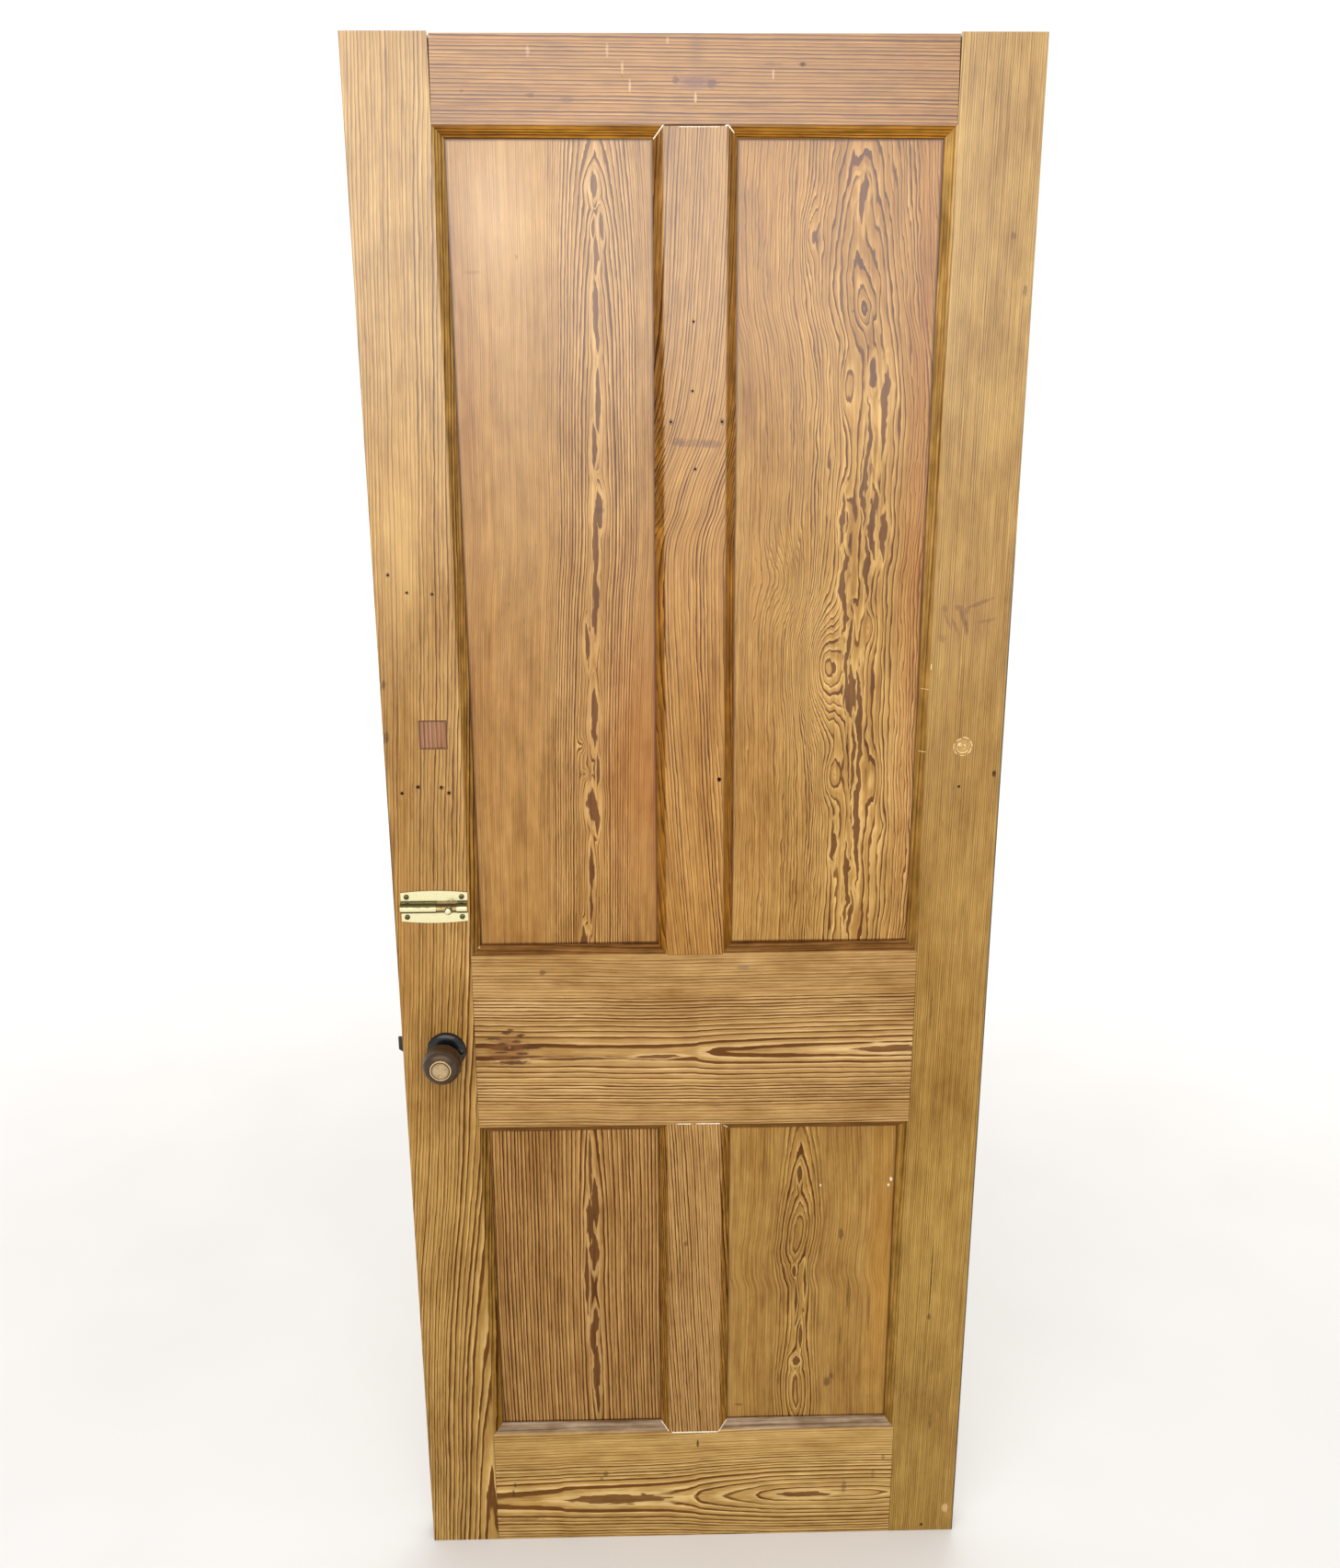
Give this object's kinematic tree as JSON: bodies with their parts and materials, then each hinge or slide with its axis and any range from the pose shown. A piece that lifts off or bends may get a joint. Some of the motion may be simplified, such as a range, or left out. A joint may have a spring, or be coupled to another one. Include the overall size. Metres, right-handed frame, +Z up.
{
  "type": "panelled door leaf",
  "caption": "Reclaimed solid wood interior door leaf with bevelled framing, flat panels, knob latch, barrel bolt and recesses for butt hinges.",
  "frame": {"origin": "middle of the bottom edge: half way between the stiles' outer edges and half way through the thickness", "axes": "+Z up along the stiles, +X to the hinge edge (right as seen from the front), +Y away from the viewer, through the thickness to the back"},
  "size_m": [0.7716, 0.1568, 1.981],
  "materials": {
    "frame_wood": "stained and varnished softwood, satin, worn",
    "panel_wood": "stained and varnished softwood, satin",
    "wedge_wood": "end grain, varnished",
    "patch_wood": "darker inlaid wood, satin",
    "rose_black": "black lacquer, glossy",
    "dark_screws": "darkened steel",
    "knob_bronze": "dark patina",
    "knob_brass": "worn satin",
    "inner_steel": "plain sheet and bar",
    "latch_brass": "worn",
    "forend_bronze": "dark, worn",
    "bolt_brass": "polished, slightly aged"
  },
  "bodies": {
    "leaf": {"lock_stile": "frame_wood", "hinge_stile": "frame_wood", "top_rail": "frame_wood", "lock_rail": "frame_wood", "bottom_rail": "frame_wood", "upper_muntin": "frame_wood", "lower_muntin": "frame_wood", "upper_left_panel": "panel_wood", "upper_right_panel": "panel_wood", "lower_left_panel": "panel_wood", "lower_right_panel": "panel_wood", "lock_stile_wedges": "wedge_wood", "hinge_stile_wedges": "wedge_wood", "square_patch": "patch_wood", "front_rose": "rose_black", "back_rose": "rose_black", "front_rose_screws": "dark_screws", "back_rose_screws": "dark_screws", "bolt_plate_screws": "dark_screws", "latch_case": "inner_steel", "latch_cover": "inner_steel", "latch_cover_screws": "inner_steel", "latch_spring": "inner_steel", "latch_forend": "forend_bronze", "latch_forend_screws": "forend_bronze", "bolt_plate": "bolt_brass"},
    "handle": {"front_knob": "knob_bronze", "back_knob": "knob_bronze", "front_knob_cap": "knob_brass", "back_knob_cap": "knob_brass", "knob_grub_screws": "dark_screws", "spindle": "inner_steel", "latch_follower": "latch_brass"},
    "latch": {"latch_bolt": "latch_brass"},
    "shoot": {"bolt_shoot": "bolt_brass", "bolt_shoot_knob": "bolt_brass"}
  },
  "joints": [
    {"name": "knob_turn", "type": "hinge", "parent": "leaf", "child": "handle", "pos_m": [-0.324, 0, 0.788], "axis": [0, 1, 0], "range_deg": [0, 40], "stiffness_Nm_per_rad": 0.3, "springref_deg": -28.65},
    {"name": "latch_slide", "type": "slide", "parent": "leaf", "child": "latch", "axis": [1, 0, 0], "range_m": [0, 0.0101], "deforming": ["latch_spring"]},
    {"name": "bolt_slide", "type": "slide", "parent": "leaf", "child": "shoot", "axis": [-1, 0, 0], "range_m": [-0.006, 0.0125]}
  ],
  "couplings": [
    {"joint": "latch_slide", "follows": "knob_turn", "m_per_rad": 0.014324}
  ]
}
